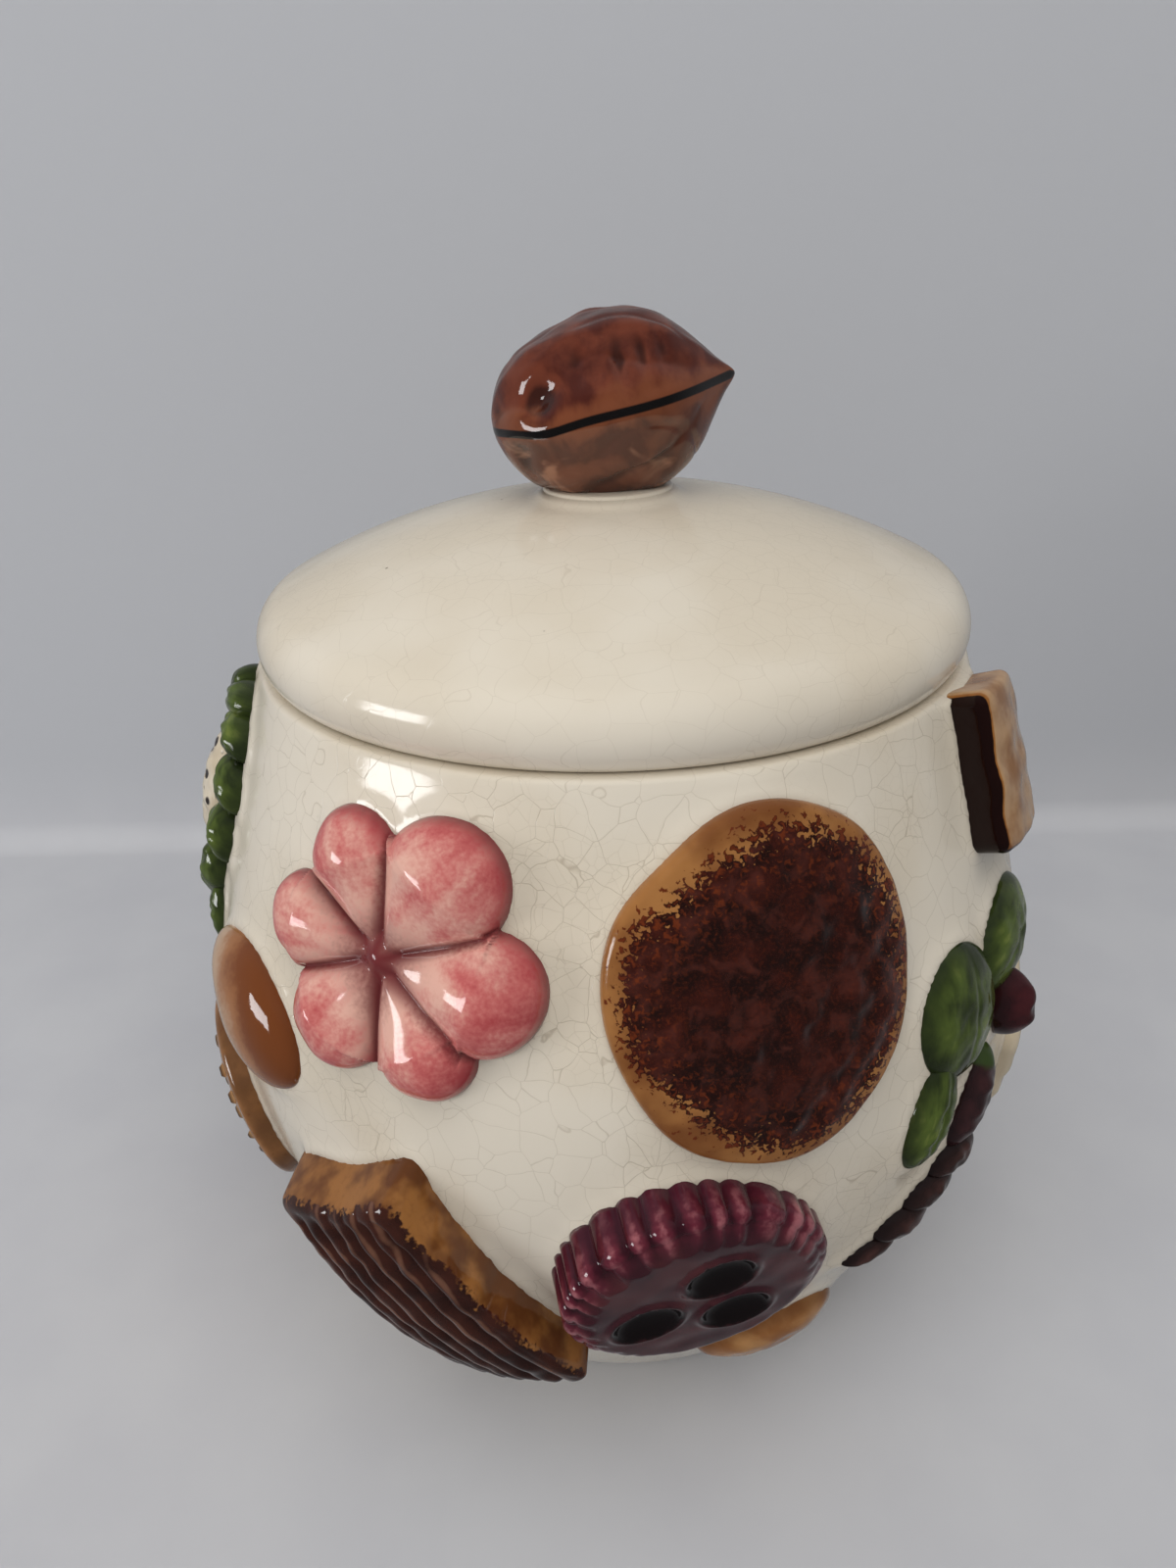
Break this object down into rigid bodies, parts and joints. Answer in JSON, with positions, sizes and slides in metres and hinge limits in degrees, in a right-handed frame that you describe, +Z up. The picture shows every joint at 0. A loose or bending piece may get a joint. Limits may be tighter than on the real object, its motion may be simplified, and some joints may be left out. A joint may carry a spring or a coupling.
{
  "type": "biscuit jar",
  "caption": "Round barrel-shaped biscuit jar of cream-glazed earthenware with raised biscuits on its wall and a domed lift-off lid with a walnut knob.",
  "frame": {"origin": "middle of the foot, on the surface that the jar stands on", "axes": "+Z up through the middle of the mouth; the middle of the front faces -Y; +X is to the right as seen from the front"},
  "size_m": [0.2081, 0.2138, 0.2421],
  "materials": {
    "cream_glaze": "glossy cream glaze with fine crazing",
    "walnut_glaze": "glossy red-brown glaze over wrinkles",
    "rose_glaze": "glossy rose pink glaze, darker in the grooves",
    "white_meringue_glaze": "glossy warm white glaze",
    "chocolate_glaze": "glossy mottled chocolate brown glaze with a caramel rim",
    "wafer_glaze": "brown glaze over wavy ridges, caramel at the sides",
    "tart_glaze": "dusty mauve brown face with a deep maroon fluted edge",
    "almond_glaze": "glossy caramel brown glaze",
    "peanut_glaze": "glossy caramel glaze with a darker crease",
    "leaf_glaze": "glossy dark and mid green glaze",
    "icing_glaze": "glossy cream glaze with dark dots",
    "biscuit_glaze": "glossy baked tan glaze, browner at the edges",
    "cherry_glaze": "glossy cherry red glaze",
    "plum_glaze": "glossy plum glaze with a green top",
    "twist_glaze": "glossy maroon brown glaze"
  },
  "bodies": {
    "jar": {"jar_body": "cream_glaze", "pink_meringue": "rose_glaze", "chocolate_round": "chocolate_glaze", "wafer_slice": "wafer_glaze", "chocolate_finger": "chocolate_glaze", "jam_tart": "tart_glaze", "toasted_almond": "almond_glaze", "peanut_half": "peanut_glaze", "leaf_wreath": "leaf_glaze", "iced_centre": "icing_glaze", "currant_biscuit": "biscuit_glaze", "leaf_spray": "leaf_glaze", "glace_cherry": "cherry_glaze", "plum_slice": "plum_glaze", "chocolate_twist": "twist_glaze", "ginger_round": "biscuit_glaze", "square_cracker": "biscuit_glaze", "iced_ring": "icing_glaze", "star_biscuit": "biscuit_glaze", "star_jam": "cherry_glaze", "shell_biscuit": "biscuit_glaze", "back_meringue": "white_meringue_glaze", "back_chocolate_round": "chocolate_glaze", "back_wafer": "wafer_glaze", "back_tart": "tart_glaze", "back_almond": "almond_glaze"},
    "lid": {"lid": "cream_glaze", "walnut_knob": "walnut_glaze"}
  },
  "joints": [
    {"name": "lid_lift", "type": "slide", "parent": "jar", "child": "lid", "axis": [0, 0, 1], "range_m": [0, 0.12]}
  ]
}
